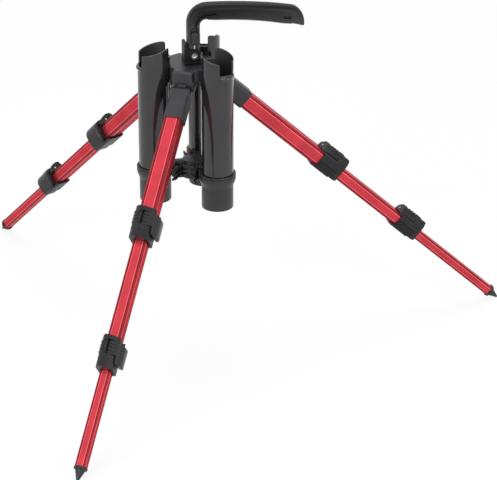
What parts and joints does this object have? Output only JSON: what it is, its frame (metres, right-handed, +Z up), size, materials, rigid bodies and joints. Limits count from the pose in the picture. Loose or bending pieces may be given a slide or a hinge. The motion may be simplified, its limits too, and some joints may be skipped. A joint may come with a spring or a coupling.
{
  "type": "rod pod",
  "caption": "Folding rod pod with rod tubes round a hub, a lockable carry handle and telescoping red legs with lever clamps.",
  "frame": {"origin": "on the ground under the hub's axis", "axes": "+Z up, +X along the right leg's heading, +Y to its left; the handle points along +X"},
  "size_m": [0.6481, 0.7466, 0.4597],
  "materials": {
    "red_anodised": "satin anodised",
    "tube_plastic": "gloss",
    "black_plastic": "satin",
    "grip_rubber": "matt",
    "steel": "bright"
  },
  "bodies": {
    "stand": {"hub": "black_plastic", "leg_hinge_pins": "steel", "back_rod_tube": "tube_plastic", "left_rod_tube": "tube_plastic", "right_rod_tube": "tube_plastic", "back_end_cap": "black_plastic", "left_end_cap": "black_plastic", "right_end_cap": "black_plastic", "lower_spider": "black_plastic", "tube_screws": "steel", "handle_bracket": "black_plastic", "bracket_screws": "steel", "handle_pivot_bolt": "steel", "handle_pivot_nut": "steel"},
    "handle": {"handle_body": "black_plastic", "grip_strip": "grip_rubber", "lock_spring": "steel"},
    "lock": {"lock_slider": "black_plastic", "lock_pin": "steel"},
    "right_leg": {"right_knuckle": "black_plastic", "right_upper_tube": "red_anodised", "right_upper_clamp": "black_plastic", "right_upper_lever_pin": "steel"},
    "right_upper_latch": {"right_upper_lever": "black_plastic"},
    "right_mid_leg": {"right_mid_tube": "red_anodised", "right_mid_bush": "black_plastic", "right_lower_clamp": "black_plastic", "right_lower_lever_pin": "steel"},
    "right_lower_latch": {"right_lower_lever": "black_plastic"},
    "right_low_leg": {"right_low_tube": "red_anodised", "right_low_bush": "black_plastic", "right_foot": "black_plastic"},
    "left_leg": {"left_knuckle": "black_plastic", "left_upper_tube": "red_anodised", "left_upper_clamp": "black_plastic", "left_upper_lever_pin": "steel"},
    "left_upper_latch": {"left_upper_lever": "black_plastic"},
    "left_mid_leg": {"left_mid_tube": "red_anodised", "left_mid_bush": "black_plastic", "left_lower_clamp": "black_plastic", "left_lower_lever_pin": "steel"},
    "left_lower_latch": {"left_lower_lever": "black_plastic"},
    "left_low_leg": {"left_low_tube": "red_anodised", "left_low_bush": "black_plastic", "left_foot": "black_plastic"},
    "front_leg": {"front_knuckle": "black_plastic", "front_upper_tube": "red_anodised", "front_upper_clamp": "black_plastic", "front_upper_lever_pin": "steel"},
    "front_upper_latch": {"front_upper_lever": "black_plastic"},
    "front_mid_leg": {"front_mid_tube": "red_anodised", "front_mid_bush": "black_plastic", "front_lower_clamp": "black_plastic", "front_lower_lever_pin": "steel"},
    "front_lower_latch": {"front_lower_lever": "black_plastic"},
    "front_low_leg": {"front_low_tube": "red_anodised", "front_low_bush": "black_plastic", "front_foot": "black_plastic"}
  },
  "joints": [
    {"name": "handle_fold", "type": "hinge", "parent": "stand", "child": "handle", "pos_m": [0.0022, 0, 0.39269], "axis": [0, 1, 0], "range_deg": [0, 45]},
    {"name": "lock_slide", "type": "slide", "parent": "handle", "child": "lock", "axis": [0, 0, 1], "range_m": [0, 0.0044], "stiffness_N_per_m": 200, "springref_m": -0.005},
    {"name": "right_leg_fold", "type": "hinge", "parent": "stand", "child": "right_leg", "pos_m": [0.028, 0, 0.36289], "axis": [0, 1, 0], "range_deg": [0, 48]},
    {"name": "right_upper_lever_swing", "type": "hinge", "parent": "right_leg", "child": "right_upper_latch", "pos_m": [0.18764, 0.002, 0.24055], "axis": [0.7431, 0, -0.6691], "range_deg": [0, 95]},
    {"name": "right_mid_slide", "type": "slide", "parent": "right_leg", "child": "right_mid_leg", "axis": [0.7431, 0, -0.6691], "range_m": [-0.102, 0.048]},
    {"name": "right_lower_lever_swing", "type": "hinge", "parent": "right_mid_leg", "child": "right_lower_latch", "pos_m": [0.29703, 0.002, 0.13936], "axis": [0.7431, 0, -0.6691], "range_deg": [0, 95]},
    {"name": "right_low_slide", "type": "slide", "parent": "right_mid_leg", "child": "right_low_leg", "axis": [0.7431, 0, -0.6691], "range_m": [-0.142, 0.038]},
    {"name": "left_leg_fold", "type": "hinge", "parent": "stand", "child": "left_leg", "pos_m": [-0.014, 0.02425, 0.36289], "axis": [-0.866, -0.5, 0], "range_deg": [0, 48]},
    {"name": "left_upper_lever_swing", "type": "hinge", "parent": "left_leg", "child": "left_upper_latch", "pos_m": [-0.09555, 0.1615, 0.24055], "axis": [-0.3716, 0.6436, -0.6691], "range_deg": [0, 95]},
    {"name": "left_mid_slide", "type": "slide", "parent": "left_leg", "child": "left_mid_leg", "axis": [-0.3716, 0.6436, -0.6691], "range_m": [-0.113, 0.037]},
    {"name": "left_lower_lever_swing", "type": "hinge", "parent": "left_mid_leg", "child": "left_lower_latch", "pos_m": [-0.15433, 0.26332, 0.132], "axis": [-0.3716, 0.6436, -0.6691], "range_deg": [0, 95]},
    {"name": "left_low_slide", "type": "slide", "parent": "left_mid_leg", "child": "left_low_leg", "axis": [-0.3716, 0.6436, -0.6691], "range_m": [-0.131, 0.049]},
    {"name": "front_leg_fold", "type": "hinge", "parent": "stand", "child": "front_leg", "pos_m": [-0.014, -0.02425, 0.36289], "axis": [0.866, -0.5, 0], "range_deg": [0, 48]},
    {"name": "front_upper_lever_swing", "type": "hinge", "parent": "front_leg", "child": "front_upper_latch", "pos_m": [-0.09209, -0.1635, 0.24055], "axis": [-0.3716, -0.6436, -0.6691], "range_deg": [0, 95]},
    {"name": "front_mid_slide", "type": "slide", "parent": "front_leg", "child": "front_mid_leg", "axis": [-0.3716, -0.6436, -0.6691], "range_m": [-0.126, 0.024]},
    {"name": "front_lower_lever_swing", "type": "hinge", "parent": "front_mid_leg", "child": "front_lower_latch", "pos_m": [-0.1557, -0.27368, 0.1233], "axis": [-0.3716, -0.6436, -0.6691], "range_deg": [0, 95]},
    {"name": "front_low_slide", "type": "slide", "parent": "front_mid_leg", "child": "front_low_leg", "axis": [-0.3716, -0.6436, -0.6691], "range_m": [-0.118, 0.062]}
  ]
}
